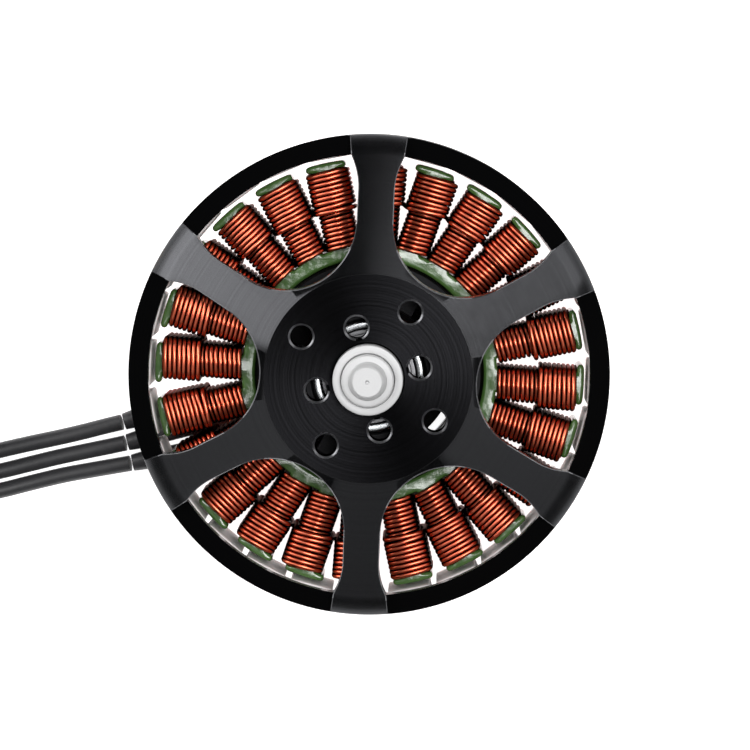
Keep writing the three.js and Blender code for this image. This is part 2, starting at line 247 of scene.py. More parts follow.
def floor_finish():
    white = Finish("floor_white", (0.9, 0.9, 0.9), 0.6)
    white.shader.inputs["Emission Color"].default_value = (1, 1, 1, 1)
    white.shader.inputs["Emission Strength"].default_value = 0.95
    white.tones(white.noise(0.05), (0.88, 0.88, 0.88), (0.92, 0.92, 0.92))
    return white


def bell_finish():
    black = Finish("bell_anodised", (0.06, 0.06, 0.063), 0.17, 1.0, Anisotropic=1.0)
    black.turned_grain()
    marks = black.rings(4.0)
    black.tones(black.spread(marks, 0, 1), (0.043, 0.043, 0.046), (0.053, 0.054, 0.057))
    black.roughness(black.noise(0.6, 4), 0.16, 0.18)
    black.bump(marks, 0.008, 0.6)
    return black


def hub_painted_shade_finish():
    # Painted shade: the same anodised black as the arms, with a far darker colour that stands in for the
    # hub's dim lighting.
    black = Finish("hub_anodised_painted_shade", (0.01, 0.01, 0.011), 0.27, 1.0, Anisotropic=0.9)
    black.turned_grain()
    marks = black.rings(4.0)
    black.tones(black.spread(marks, 0, 1), (0.003, 0.003, 0.0033), (0.006, 0.006, 0.0067))
    black.bump(marks, 0.008, 0.6)
    return black


def painted_edge_highlight_finish():
    """Painted highlight on the bell's broken edges: a lighter grey metal that stands in for the light the
    chamfers catch.
    """
    grey = Finish("bell_edge_painted_highlight", (0.2, 0.2, 0.21), 0.35, 1.0)
    grey.tones(grey.noise(2.5, 4), (0.12, 0.12, 0.13), (0.34, 0.34, 0.35))
    return grey


def base_finish():
    black = Finish("base_anodised", (0.02, 0.02, 0.022), 0.42, 0.9)
    black.tones(black.noise(0.8, 4), (0.003, 0.003, 0.0034), (0.007, 0.007, 0.0078))
    black.bump(black.rings(4.0), 0.02, 0.5)
    return black


def rim_finish():
    black = Finish("rim_anodised", (0.002, 0.002, 0.0022), 0.55, 0.0, Specular_IOR_Level=0.01)
    black.tones(black.rings(6.0), (0.0006, 0.0006, 0.0007), (0.0014, 0.0014, 0.0016))
    return black


def ring_finish():
    black = Finish("ring_black", (0.012, 0.012, 0.013), 0.38, 0.3)
    black.roughness(black.noise(1.2, 5), 0.3, 0.5)
    black.bump(black.noise(6.0, 4), 0.006, 0.25)
    return black


def magnet_finish():
    nickel = Finish("magnet_nickel", (0.85, 0.82, 0.8), 0.55, 0.1)
    nickel.tones(nickel.noise(0.7, 4), (0.95, 0.92, 0.91), (0.84, 0.80, 0.79))
    nickel.roughness(nickel.noise(2.0, 3), 0.4, 0.6)
    return nickel


def epoxy_finish():
    green = Finish("core_epoxy", (0.14, 0.28, 0.08), 0.26, 0.0, Coat_Weight=0.6, Coat_Roughness=0.12)
    green.tones(green.noise(0.9, 4), (0.04, 0.10, 0.02), (0.085, 0.175, 0.045))
    green.bump(green.noise(0.8, 3), 0.25, 0.5)
    green.bump(green.noise(5.0, 3), 0.02, 0.4)
    return green


def copper_finish():
    """Enamelled wire with painted shade: the deeper between the turns, the darker the colour, and with
    damped edge reflections.
    """
    copper = Finish("copper_enamel", (0.95, 0.26, 0.13), 0.31, 1.0)
    copper.shader.inputs["Specular Tint"].default_value = (0.2, 0.05, 0.02, 1)
    wire = copper.mix(copper.noise(0.7, 2), (1.0, 0.235, 0.13), (0.9, 0.17, 0.085))
    # Painted shade: ambient occlusion darkens the wire's colour between the turns and on the coil's flanks.
    openness = copper.node("AmbientOcclusion", {"Distance": 1.6 * MM}, samples=6).outputs["AO"]
    inputs = {"Value": openness, "From Min": 0.60, "From Max": 0.85}
    painted_crevice_shade = copper.node("MapRange", inputs, interpolation_type="SMOOTHSTEP").outputs["Result"]
    copper.color(copper.node("VectorMath", {0: wire, 1: painted_crevice_shade}, operation="MULTIPLY").outputs[0])
    return copper


def steel_finish(name, light, dark, roughness):
    steel = Finish(name, light, roughness, 1.0, Anisotropic=0.4)
    steel.turned_grain()
    marks = steel.rings(9.0)
    steel.tones(marks, light, dark)
    steel.bump(marks, 0.01, 0.5)
    return steel


def satin_finish():
    """The boss and the shaft: bright, finely blasted metal."""
    steel = Finish("boss_satin", (0.6, 0.6, 0.6), 0.6, 0.6)
    steel.tones(steel.rings(8.0), (0.60, 0.60, 0.60), (0.53, 0.53, 0.535))
    steel.bump(steel.noise(14, 4), 0.012, 0.5)
    return steel


def silicone_finish():
    black = Finish("lead_silicone", (0.022, 0.022, 0.024), 0.5, 0.0, Sheen_Weight=0.15)
    black.tones(black.noise(1.5, 4), (0.016, 0.016, 0.018), (0.034, 0.034, 0.037))
    black.bump(black.noise(9.0, 4), 0.02, 0.5)
    return black


def sleeve_finish():
    grey = Finish("shrink_sleeve", (0.03, 0.03, 0.033), 0.42)
    grey.roughness(grey.noise(2.0, 3), 0.34, 0.5)
    grey.bump(grey.noise(1.6, 4), 0.08, 0.6)
    return grey


def gold_finish():
    gold = Finish("connector_gold", (0.9, 0.62, 0.24), 0.2, 1.0)
    gold.roughness(gold.noise(3.0, 4), 0.14, 0.3)
    return gold


def strap_finish():
    """A woven strap: two crossed sets of threads."""
    black = Finish("tie_strap", (0.02, 0.02, 0.022), 0.8, 0.0, Sheen_Weight=0.4)
    threads = []
    for way in ("Z", "DIAGONAL"):
        inputs = {"Vector": black.place(), "Scale": 1.6}
        threads.append(black.node("TexWave", inputs, bands_direction=way).outputs["Fac"])
    weave = black.node("Math", dict(enumerate(threads)), operation="MULTIPLY").outputs[0]
    black.tones(weave, (0.012, 0.012, 0.013), (0.05, 0.05, 0.054))
    black.bump(weave, 0.12, 0.8)
    return black


# ---- Mesh helpers (all in millimetres until the mesh is made) --------------------------------

def solid(name, vertices, faces, sharp=35):
    """A mesh object from millimetre vertices, faces turned outwards, smooth up to the sharp angle."""
    mesh = bpy.data.meshes.new(name)
    mesh.from_pydata([tuple(v) for v in np.asarray(vertices, float) * MM], [], faces)
    work = bmesh.new()
    work.from_mesh(mesh)
    bmesh.ops.remove_doubles(work, verts=work.verts, dist=1e-7)
    bmesh.ops.dissolve_degenerate(work, edges=work.edges, dist=1e-8)
    bmesh.ops.recalc_face_normals(work, faces=work.faces)
    work.to_mesh(mesh)
    work.free()
    smooth(mesh, sharp)
    made = bpy.data.objects.new(name, mesh)
    bpy.context.scene.collection.objects.link(made)
    return made


def smooth(mesh, sharp):
    mesh.shade_smooth()
    mesh.set_sharp_from_angle(angle=math.radians(sharp))


def piece(obj, finish, body, nodes=()):
    """Gives a complete mesh its finish and its body, and hides the CAD nodes that it stands for."""
    obj.data.materials.clear()
    obj.data.materials.append(finish.material)
    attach(obj, body)
    if nodes:
        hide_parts(*nodes)
    return obj


def dress(name, shape, finish, body, nodes=(), sharp=35):
    """A new piece from a shape's vertices and faces."""
    return piece(solid(name, *shape, sharp), finish, body, nodes)


def polar(reach, angle):
    return reach * math.cos(angle), reach * math.sin(angle)


def arc(centre, radius, first, last, count, height=None):
    """Points on a circle, or on an ellipse with its own half height, by angle in degrees."""
    turns = np.radians(np.linspace(first, last, count))
    tall = height or radius
    return [(centre[0] + radius * math.cos(t), centre[1] + tall * math.sin(t)) for t in turns]


def lathe(profile, count=192, closed=True):
    """A solid of revolution about Z. An open profile starts and ends on the axis."""
    vertices, rows, faces = [], [], []
    for reach, z in profile:
        if reach < 1e-6:
            rows.append([len(vertices)] * count)
            vertices.append((0, 0, z))
            continue
        rows.append(list(range(len(vertices), len(vertices) + count)))
        for i in range(count):
            angle = i * TURN / count
            vertices.append((*polar(reach, angle), z))
    pairs = list(zip(rows, rows[1:] + rows[:1])) if closed else list(zip(rows, rows[1:]))
    for lower, upper in pairs:
        for i in range(count):
            j = (i + 1) % count
            corners = dict.fromkeys((lower[i], lower[j], upper[j], upper[i]))
            if len(corners) > 2:
                faces.append(tuple(corners))
    return vertices, faces


def ring(inner, outer, low, high, bevel=0.1, steps=3):
    """The profile of a plain ring with rounded edges."""
    profile = []
    for reach, z, first in ((inner, low, 180), (outer, low, 270), (outer, high, 0), (inner, high, 90)):
        centre = (reach + bevel * (1 if reach == inner else -1), z + bevel * (1 if z == low else -1))
        profile += arc(centre, bevel, first, first + 90, steps)
    return profile


def rounded_box(centre, half, corner, grow=0.0, steps=7):
    """A rectangle with round corners, counter-clockwise; grow moves it outwards."""
    points = []
    for sx, sy, first in ((1, 1, 0), (-1, 1, 90), (-1, -1, 180), (1, -1, 270)):
        turn_centre = (centre[0] + sx * (half[0] - corner), centre[1] + sy * (half[1] - corner))
        points += arc(turn_centre, corner + grow, first, first + 90, steps)
    return points


def band(low_row, high_row, count):
    """The faces between two closed rows of vertices, from the number of each row's first vertex."""
    faces = []
    for i in range(count):
        j = (i + 1) % count
        faces.append((low_row + i, low_row + j, high_row + j, high_row + i))
    return faces


def loft(loops):
    """A closed solid through loops with the same number of points, capped at both ends."""
    count = len(loops[0])
    vertices = [point for loop in loops for point in loop]
    faces = [tuple(range(count)), tuple(range(len(vertices) - count, len(vertices)))]
    for k in range(len(loops) - 1):
        faces += band(k * count, (k + 1) * count, count)
    return vertices, faces


def raised(outline, low, high):
    """A prism on a plan outline."""
    return loft([[(x, y, z) for x, y in outline] for z in (low, high)])


def turned_by(points, angle):
    """Turns points about Z."""
    c, s = math.cos(angle), math.sin(angle)
    return [(x * c - y * s, x * s + y * c, *rest) for x, y, *rest in points]


def repeated(shape, count, first=0.0):
    """Copies of a shape at even steps round Z."""
    vertices, faces = shape
    return [(turned_by(vertices, first + k * TURN / count), faces) for k in range(count)]


def moved(points, x_shift, y_shift, z_shift=0.0):
    return [(x + x_shift, y + y_shift, z + z_shift) for x, y, z in points]


def grown(outline, distance):
    """A closed counter-clockwise outline moved outwards by a distance."""
    points = np.array(outline)
    before = points - np.roll(points, 1, axis=0)
    after = np.roll(points, -1, axis=0) - points
    lengths = np.linalg.norm(before, axis=1, keepdims=True), np.linalg.norm(after, axis=1, keepdims=True)
    tangent = before / np.maximum(lengths[0], 1e-9) + after / np.maximum(lengths[1], 1e-9)
    tangent /= np.maximum(np.linalg.norm(tangent, axis=1, keepdims=True), 1e-9)
    return points + distance * np.stack([tangent[:, 1], -tangent[:, 0]], axis=1)


def tube(path, radius, sides=10):
    """A round tube along an open path, with flat ends."""
    path = np.asarray(path, float)
    tangents = np.gradient(path, axis=0)
    tangents /= np.linalg.norm(tangents, axis=1, keepdims=True)
    side = np.cross(tangents[0], (0.3, 0.2, 1.0))
    angles = [i * TURN / sides for i in range(sides)]
    loops = []
    for point, tangent in zip(path, tangents):
        side = side - tangent * side.dot(tangent)
        side /= np.linalg.norm(side)
        other = np.cross(tangent, side)
        loops.append([point + radius * (math.cos(t) * side + math.sin(t) * other) for t in angles])
    return loft(loops)


def joined(parts):
    """Several (vertices, faces) as one."""
    vertices, faces = [], []
    for points, corners in parts:
        start = len(vertices)
        vertices += [tuple(p) for p in points]
        faces += [tuple(start + i for i in face) for face in corners]
    return vertices, faces


def combine(obj, tool_parts, operation="DIFFERENCE", sharp=35):
    """Cuts or joins obj with other solids, and leaves one clean mesh."""
    tool = solid("tool", *joined(tool_parts))
    change = obj.modifiers.new("combine", "BOOLEAN")
    change.operation = operation
    change.solver = "EXACT"
    change.object = tool
    graph = bpy.context.evaluated_depsgraph_get()
    mesh = bpy.data.meshes.new_from_object(obj.evaluated_get(graph))
    obj.modifiers.clear()
    obj.data = mesh
    bpy.data.objects.remove(tool)
    smooth(mesh, sharp)
    return obj


def smooth_path(points, spacing):
    """A centripetal Catmull-Rom curve through the points, given as points about one spacing apart."""
    points = [np.asarray(p, float) for p in points]
    knots = [2 * points[0] - points[1], *points, 2 * points[-1] - points[-2]]
    samples = []
    for a, b, c, d in zip(knots, knots[1:], knots[2:], knots[3:]):
        t = np.cumsum([0, *(math.sqrt(np.linalg.norm(q - p)) for p, q in ((a, b), (b, c), (c, d)))])
        for x in np.linspace(t[1], t[2], 24, endpoint=False):
            ab = a + (b - a) * (x - t[0]) / (t[1] - t[0])
            bc = b + (c - b) * (x - t[1]) / (t[2] - t[1])
            cd = c + (d - c) * (x - t[2]) / (t[3] - t[2])
            abc = ab + (bc - ab) * (x - t[0]) / (t[2] - t[0])
            bcd = bc + (cd - bc) * (x - t[1]) / (t[3] - t[1])
            samples.append(abc + (bcd - abc) * (x - t[1]) / (t[2] - t[1]))
    samples.append(points[-1])
    samples = np.array(samples)
    along = np.concatenate([[0], np.cumsum(np.linalg.norm(np.diff(samples, axis=0), axis=1))])
    steps = np.linspace(0, along[-1], max(2, int(along[-1] / spacing) + 1))
    return np.stack([np.interp(steps, along, samples[:, k]) for k in range(3)], axis=1)


# ---- Leads: the route where they aren't wound, in metres as in the CAD, and the wound turns ---

LEAD_DIAMETER = 0.0019
WIND_CENTRE = middle("wound_leads").to_2d()
LEAD_ROUTES = {
    "lead_a": {
        "sleeve": [(-0.0157, -0.0031, 0.00145), (-0.0239, -0.00505, 0.00145), (-0.0296, -0.0067, 0.0014)],
        "out": [(-0.0299, -0.00678, 0.00138), (-0.0320, -0.0073, 0.00115), (-0.0345, -0.00795, 0.0010),
                (-0.0375, -0.00865, 0.00096), (-0.0410, -0.0094, 0.00096), (-0.0445, -0.0102, 0.00098),
                (-0.0480, -0.0111, 0.00105), (-0.0519, -0.0120, 0.0012)],
        "tail": [(-0.0758, 0.0095, 0.0071), (-0.0754, 0.0125, 0.0061), (-0.0750, 0.0155, 0.0049),
                 (-0.0743, 0.0185, 0.0034), (-0.0739, 0.0215, 0.0025), (-0.0739, 0.0246, 0.00235)],
    },
    "lead_b": {
        "sleeve": [(-0.0152, -0.0058, 0.00145), (-0.0233, -0.0077, 0.00145), (-0.0292, -0.0092, 0.0014)],
        "out": [(-0.0295, -0.00928, 0.00138), (-0.0316, -0.00975, 0.00115), (-0.0340, -0.01025, 0.0010),
                (-0.0375, -0.0110, 0.00096), (-0.0410, -0.01185, 0.00097), (-0.0445, -0.0127, 0.0011),
                (-0.0480, -0.01335, 0.0016), (-0.0514, -0.0137, 0.00225)],
        "tail": [(-0.07595, 0.0095, 0.00915), (-0.0765, 0.0125, 0.0081), (-0.0775, 0.0155, 0.0062),
                 (-0.0786, 0.0185, 0.0042), (-0.0793, 0.0215, 0.0028), (-0.0795, 0.0246, 0.00235)],
    },
    "lead_c": {
        "sleeve": [(-0.0146, -0.0085, 0.00145), (-0.0227, -0.01035, 0.00145), (-0.0286, -0.01165, 0.0014)],
        "out": [(-0.0289, -0.01172, 0.00138), (-0.0310, -0.0121, 0.00115), (-0.0335, -0.01255, 0.0010),
                (-0.0370, -0.0132, 0.00097), (-0.0410, -0.01415, 0.0011), (-0.0445, -0.0150, 0.0016),
                (-0.0480, -0.0156, 0.0025), (-0.0512, -0.01575, 0.0034)],
        "tail": [(-0.0761, 0.0095, 0.0112), (-0.0777, 0.0125, 0.0099), (-0.0802, 0.0155, 0.0075),
                 (-0.0830, 0.0185, 0.0050), (-0.0848, 0.0215, 0.0031), (-0.0851, 0.0246, 0.00235)],
    },
}


def wound_turns(level):
    """One lead's turns, clockwise from the near side: in on a lower layer and out on an upper one."""
    outer, pitch, layer = 0.0139, 0.00193, 0.00195
    turns_each_way, exit_part = 3.0, 0.25
    steps_in_a_turn = 40
    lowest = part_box("wound_leads")[0].z + LEAD_DIAMETER / 2 + level * layer
    climb_from, climb_to = turns_each_way - 0.15, turns_each_way + 0.4
    total = 2 * turns_each_way + exit_part
    count = int(total * steps_in_a_turn)
    points = []
    for i in range(count + 1):
        done = i * total / count
        inward = done if done < turns_each_way else max(0.0, 2 * turns_each_way - done)
        share = min(1.0, max(0.0, (done - climb_from) / (climb_to - climb_from)))
        rise = 3 * layer * share * share * (3 - 2 * share)
        angle = -math.pi / 2 - done * TURN
        reach = outer - pitch * inward
        across, along = polar(reach, angle)
        points.append((WIND_CENTRE.x + across, WIND_CENTRE.y + along, lowest + rise))
    return points


def round_cord(name, path, finish):
    """A curve with the leads' round section."""
    data = bpy.data.curves.new(name, "CURVE")
    data.dimensions = "3D"
    data.bevel_depth = LEAD_DIAMETER / 2
    data.bevel_resolution = 5
    data.use_fill_caps = True
    spline = data.splines.new("POLY")
    spline.points.add(len(path) - 1)
    for point, place in zip(spline.points, path):
        point.co = (*place, 1)
    spline.use_smooth = True
    data.materials.append(finish.material)
    cord = bpy.data.objects.new(name, data)
    bpy.context.scene.collection.objects.link(cord)
    return cord


def add_leads(silicone, sleeve, gold, strap):
    inside_plug, spacing = 0.004, 0.0009
    turns = {name: wound_turns(level) for level, name in enumerate(LEAD_ROUTES)}
    shared = [add_tie(strap)]
    for name, route in LEAD_ROUTES.items():
        end = Vector(route["tail"][-1])
        points = [*route["out"], *turns[name][3:-3], *route["tail"], end + Vector((0, inside_plug, 0))]
        lead = round_cord(name + "_cord", smooth_path(points, spacing), silicone)
        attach(lead, "stator")
        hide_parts(name, name + "_tail", "wound_leads")
        on_lead = [*add_connector(name, gold, sleeve), add_sleeve(name, route["sleeve"], sleeve), *shared]
        shared = []


def add_sleeve(name, route, finish):
    """The shrunk sleeve over a lead's joint with its winding: a little waisted, and tight at its ends."""
    path = smooth_path([Vector(point) / MM for point in route], 0.45)
    radius, sides = 1.175, 20
    rng = random.Random(name)
    vertices, faces = tube(path, 1.0, sides)
    rows = np.array(vertices).reshape(len(path), sides, 3)
    for k, point in enumerate(path):
        share = k / (len(path) - 1)
        waist = 1 - 0.06 * math.sin(math.pi * share) ** 2 - rng.uniform(0, 0.02)
        mouth = 1 - 0.14 * max(0.0, 1 - 8 * min(share, 1 - share))
        rows[k] = point + (rows[k] - point) * radius * waist * mouth
    shape = (rows.reshape(-1, 3), faces)
    return dress(name + "_joint_sleeve", shape, finish, "stator", [name + "_sleeve"], 60)


def along_y(shape, place):
    """Turns a shape's Z axis to +Y and moves it to place."""
    vertices, faces = shape
    return [(x + place[0], z + place[1], -y + place[2]) for x, y, z in vertices], faces


def add_connector(name, gold, sleeve):
    """A bullet connector: a gold cup under a shrunk cover, and a pin with a slotted spring."""
    low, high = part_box(name + "_connector")
    mouth = ((low.x + high.x) / 2 / MM, low.y / MM, (low.z + high.z) / 2 / MM)
    cover_end, sides = 9.9, 48
    barrel = lathe([
        (0, 9.0), (1.9, 9.0), (1.93, 10.4), (1.93, 12.1), (1.8, 12.3), (1.35, 12.45), (1.35, 18.3),
        *arc((0.75, 18.3), 0.6, 0, 60, 5, 0.8), (0.5, 19.15), (0, 19.15),
    ], sides, closed=False)
    leaf_count, leaf_half, leaf_foot, leaf_belly, leaf_thick = 8, 0.3, 1.38, 0.5, 0.12
    leaf_start, leaf_length = 12.6, 5.4
    loops = []
    for share in np.linspace(0, 1, 13):
        outside = leaf_foot + leaf_belly * math.sin(math.pi * share)
        z = leaf_start + leaf_length * share
        section = [(turn, outside) for turn in (-leaf_half, 0, leaf_half)]
        section += [(turn, outside - leaf_thick) for turn in (leaf_half, -leaf_half)]
        loops.append([(*polar(reach, turn), z) for turn, reach in section])
    pin_shape = along_y(joined([barrel, *repeated(loft(loops), leaf_count)]), mouth)
    cover = lathe([
        (1.02, 0.15), (1.35, 0.0), (1.6, 0.35), (1.75, 1.1), (2.2, 1.9), (2.28, 3.0), (2.24, 6.0),
        (2.28, cover_end - 0.4), (2.2, cover_end), (1.95, cover_end), (1.95, 3.0), (1.02, 1.6),
    ], sides)
    nodes = [name + "_connector"]
    return [
        dress(name + "_bullet", pin_shape, gold, "stator", nodes),
        dress(name + "_bullet_cover", along_y(cover, mouth), sleeve, "stator", nodes, 50),
    ]


def add_tie(finish):
    """A flat strap round one side of the wound leads, with thinned edges."""
    low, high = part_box("wound_leads")
    inner, outer = 6.9, (high.x - low.x) / 2 / MM
    bottom, top = low.z / MM, high.z / MM
    angle = math.radians(50)
    clear, thick, thinned, edge, half_width, corner = 0.12, 0.42, 0.12, 0.15, 1.45, 1.0
    half = ((outer - inner) / 2 + clear, (top - bottom) / 2 + clear)
    centre = ((outer + inner) / 2, (top + bottom) / 2)
    vertices, faces = [], []
    for across in (-half_width, edge - half_width, half_width - edge, half_width):
        outside = thick - thinned if abs(across) == half_width else thick
        for grow in (0, outside):
            loop = rounded_box(centre, half, corner, grow)
            vertices += [(x, across, z) for x, z in loop]
    count = len(loop)
    for layer in range(6):
        faces += band(layer * count, (layer + 2) * count, count)
    for layer in (0, 6):
        faces += band(layer * count, (layer + 1) * count, count)
    placed = moved(turned_by(vertices, angle), WIND_CENTRE.x / MM, WIND_CENTRE.y / MM)
    return dress("lead_strap", (placed, faces), finish, "stator", ["lead_tie"], 50)


# ---- Bell -----------------------------------------------------------------------------------

HUB_RADIUS = 11.95
ANNULUS_RADIUS = 25.5
ANNULUS_TOP = 19.4
EDGE = 0.09
ARM_COUNT = 6
ARM_TOP = 25.93
SHOULDER = {"centre": (22.82, 15.02), "round": 6.6, "angles": (66, 42)}
WINDOW = {"apex": 12.4, "round": 8.2, "side_end": (19.6, 8.9), "flare": (21.2, 9.85), "half_angle": 23.1}
SCREW_CIRCLES = ((6.0, 15), (9.0, 60))
# The bell's finishes by index; the hub's is a painted-shade copy of the arms' black, and the last is a
# painted highlight on broken edges.
ARM_FINISH, HUB_PAINTED_SHADE_FINISH, RIM_FINISH, PAINTED_HIGHLIGHT_FINISH = range(4)


def bell_top_profile(rim):
    """The arms' upper surface from the hub outwards: a straight slope, a rounded shoulder and the edge."""
    shoulder = arc(SHOULDER["centre"], SHOULDER["round"], *SHOULDER["angles"], 13)
    foot = shoulder[-1][1]
    return [(HUB_RADIUS, ARM_TOP), *shoulder, (rim - 0.02, foot - 0.12), (rim, foot - 0.25)]


def window_outline():
    """A window's edge along both arms and the hub, from one end of the rim to the other."""
    half = math.radians(WINDOW["half_angle"])
    corner = polar(ANNULUS_RADIUS, half)
    centre = WINDOW["apex"] + WINDOW["round"]
    rounded = arc((centre, 0), WINDOW["round"], 120, 240, 61)
    side, flare = np.array(WINDOW["side_end"]), np.array(WINDOW["flare"])
    curve = [tuple((1 - t) ** 2 * np.array(corner) + 2 * t * (1 - t) * flare + t * t * side)
             for t in np.linspace(0, 1, 20)[:-1]]
    line = [tuple(side + (np.array(rounded[0]) - side) * t) for t in np.linspace(0, 1, 12)[:-1]]
    return curve + line + rounded + [(x, -y) for x, y in reversed(curve + line)]


def rim_end(reach):
    """The far edge of the gap as a wide arc of the given radius, clockwise end to counter-clockwise end."""
    half = math.radians(WINDOW["half_angle"])
    return [polar(reach, t) for t in np.linspace(-half, half, 49)]


def through_window():
    """The cutter that goes right through the bell inside the rim."""
    shrunk, below = 0.003, 15.0
    outline = grown(window_outline() + rim_end(ANNULUS_RADIUS)[1:-1], -shrunk)
    return raised(outline, below, ANNULUS_TOP + 0.05)


def over_rim(top_points):
    """The cutter that clears the gap above the rim and breaks the arms' upper edges."""
    half = math.radians(WINDOW["half_angle"])
    beyond = 29.0
    reaches = np.linspace(ANNULUS_RADIUS, beyond, 15)[1:-1]
    ends = [[polar(reach, side * half) for reach in reaches] for side in (-1, 1)]
    outline = window_outline() + ends[0] + rim_end(beyond) + ends[1][::-1]
    reach = [math.hypot(x, y) for x, y in outline]
    surface = np.interp(reach, [p[0] for p in top_points], [p[1] for p in top_points])
    surface = np.maximum(surface, ANNULUS_TOP + 0.02 + EDGE)
    lip, above = 0.06, 30.0
    wide = grown(outline, EDGE + lip)
    return loft([
        [(x, y, ANNULUS_TOP) for x, y in outline],
        [(x, y, z - EDGE) for (x, y), z in zip(outline, surface)],
        [(x, y, z + lip) for (x, y), z in zip(wide, surface)],
        [(x, y, above) for x, y in wide],
    ])


def screw_cutter(circle, angle, top, depth=4.4):
    """A tapped hole: a broken mouth and the thread's ridges, each a ring of its own."""
    crest, root, mouth, pitch = 1.28, 1.46, 1.52, 0.5
    drill_point, above = 0.6, 0.3
    profile = [(0, top - depth - drill_point), (crest, top - depth - drill_point)]
    for k in range(int(depth / pitch)):
        z = top - depth + k * pitch
        profile += [(crest, z), (crest, z + 0.06), (root, z + 0.24), (root, z + 0.30)]
    profile += [(crest + 0.02, top - 0.16), (mouth - 0.02, top - 0.03), (mouth, top)]
    profile += [(mouth + 0.05, top + above), (0, top + above)]
    vertices, faces = lathe(profile, 48, closed=False)
    return moved(vertices, *polar(circle, angle)), faces


def add_bell(*finishes):
    """The bell, with its arm, painted-shade hub, rim and painted edge-highlight finishes in that order."""
    bell = extent("rotor_bell")
    rim = bell.outer
    top = bell_top_profile(rim)
    hub_floor, floor_end, floor_round = 22.0, 11.6, 1.4
    profile = [
        (bell.inner, hub_floor), (floor_end, hub_floor),
        *arc((floor_end, hub_floor - floor_round), floor_round, 90, 71, 5),
        (24.0, 18.9), (24.9, 18.5), (25.35, bell.low + 0.1), (25.45, bell.low),
        (rim - 0.1, bell.low), (rim, bell.low + 0.1), *reversed(top),
        (HUB_RADIUS - 0.05, bell.high), (bell.inner + 0.15, bell.high), (bell.inner, bell.high - 0.15),
    ]
    made = solid("bell", *lathe(profile, 336))
    for cutter in (over_rim(top), through_window()):
        combine(made, repeated(cutter, ARM_COUNT, TURN / ARM_COUNT), sharp=28)
    cutters = []
    for circle, first in SCREW_CIRCLES:
        cutters += [screw_cutter(circle, math.radians(first + 90 * k), bell.high) for k in range(4)]
    combine(made, cutters, sharp=28)
    made.data.transform(Matrix.Rotation(REST_TURN, 4, "Z"))
    piece(made, finishes[ARM_FINISH], "rotor", ["rotor_bell"])
    for finish in finishes[1:]:
        made.data.materials.append(finish.material)
    place = [Vector(v.co) / MM for v in made.data.vertices]
    for face in made.data.polygons:
        face.material_index = finish_index(face, [place[i] for i in face.vertices], bell)
    return made


def finish_index(face, corners, bell):
    """Which finish a face of the bell has, by where its corners lie and which way it looks."""
    reaches = [corner.to_2d().length for corner in corners]
    lowest, highest = min(corner.z for corner in corners), max(corner.z for corner in corners)
    if highest < ANNULUS_TOP + 0.02 and max(reaches) > ANNULUS_RADIUS:
        return RIM_FINISH
    if max(reaches) < HUB_RADIUS + 0.01:
        near_mouth = lowest > bell.high - 0.9
        in_screw_circle = bell.inner + 0.5 < min(reaches) and max(reaches) < HUB_RADIUS - 1.0
        # Painted highlight: the screw holes' sloping mouths get the lighter edge finish.
        gets_painted_highlight = near_mouth and in_screw_circle and 0.3 < face.normal.z < 0.95
        return PAINTED_HIGHLIGHT_FINISH if gets_painted_highlight else HUB_PAINTED_SHADE_FINISH
    # Painted highlight: the windows' chamfers above the rim get the lighter edge finish.
    return PAINTED_HIGHLIGHT_FINISH if lowest > ANNULUS_TOP + 0.01 and is_broken_edge(face) else ARM_FINISH


def is_broken_edge(face):
    """Whether a bell face belongs to a window's chamfer: it is steeper than the arm and faces the window."""
    outward = face.center.to_2d().normalized().dot(face.normal.to_2d())
    return 0.3 < face.normal.z < 0.85 and (outward < 0.35 or is_hub_side(face))


def is_hub_side(face):
    """Whether a steep face lies at a window's round end, near the hub but clear of its edge."""
    reach = face.center.to_2d().length / MM
    return HUB_RADIUS + 0.15 < reach < WINDOW["apex"] + 2.5


# ---- The rotor's other pieces ----------------------------------------------------------------

def add_flux_ring(finish):
    shape = lathe(ring(*extent("flux_ring"), 0.18, 4), 256)
    return dress("steel_ring", shape, finish, "rotor", ["flux_ring"])


def add_magnets(finish):
    """Bars with eased edges, whose inner faces stand at the CAD ring's inner radius."""
    count = 28
    node = extent("magnet_ring")
    face, back, half_width = 25.35, node.outer - 0.05, 2.5
    back_ease, face_ease, end_ease = 0.1, 0.15, 0.12
    side = [(back - back_ease, half_width), (face + face_ease, half_width), (face, half_width - face_ease)]
    outline = [(back, half_width - back_ease), *side]
    outline += [(x, -y) for x, y in reversed(outline)]
    small = grown(outline, -end_ease)
    levels = (
        (small, node.low), (outline, node.low + end_ease),
        (outline, node.high - end_ease), (small, node.high),
    )
    loops = [[(x, y, z) for x, y in points] for points, z in levels]
    for k, shape in enumerate(repeated(loft(loops), count, REST_TURN)):
        dress(f"magnet_{k + 1:02d}", shape, finish, "rotor", ["magnet_ring"], 30)


def add_shaft(finish):
    """The shaft, with the clip's groove near its foot and a turned tip with a centre mark."""
    node = extent("shaft")
    radius, low, high = node.outer, node.low, node.high
    chamfer, shoulder, shoulder_round = 0.35, 30.0, 0.3
    groove, groove_low, groove_high = 2.6, 1.0, 1.5
    tip_foot, tip_end, centre_mark = 2.1, 1.7, 0.25
    round_centre = (radius - shoulder_round, shoulder - shoulder_round)
    profile = [
        (0, low), (radius - chamfer, low), (radius, low + chamfer), (radius, groove_low),
        (groove, groove_low), (groove, groove_high), (radius, groove_high), (radius, round_centre[1]),
        *arc(round_centre, shoulder_round, 15, 90, 4),
        (tip_foot + 0.12, shoulder), (tip_foot, shoulder + 0.1), (tip_end + 0.08, high - 0.2),
        (tip_end - 0.08, high), (centre_mark, high), (0, high - 0.3),
    ]
    shape = lathe(profile, 128, closed=False)
    return dress("steel_shaft", shape, finish, "rotor", ["shaft"], 25)


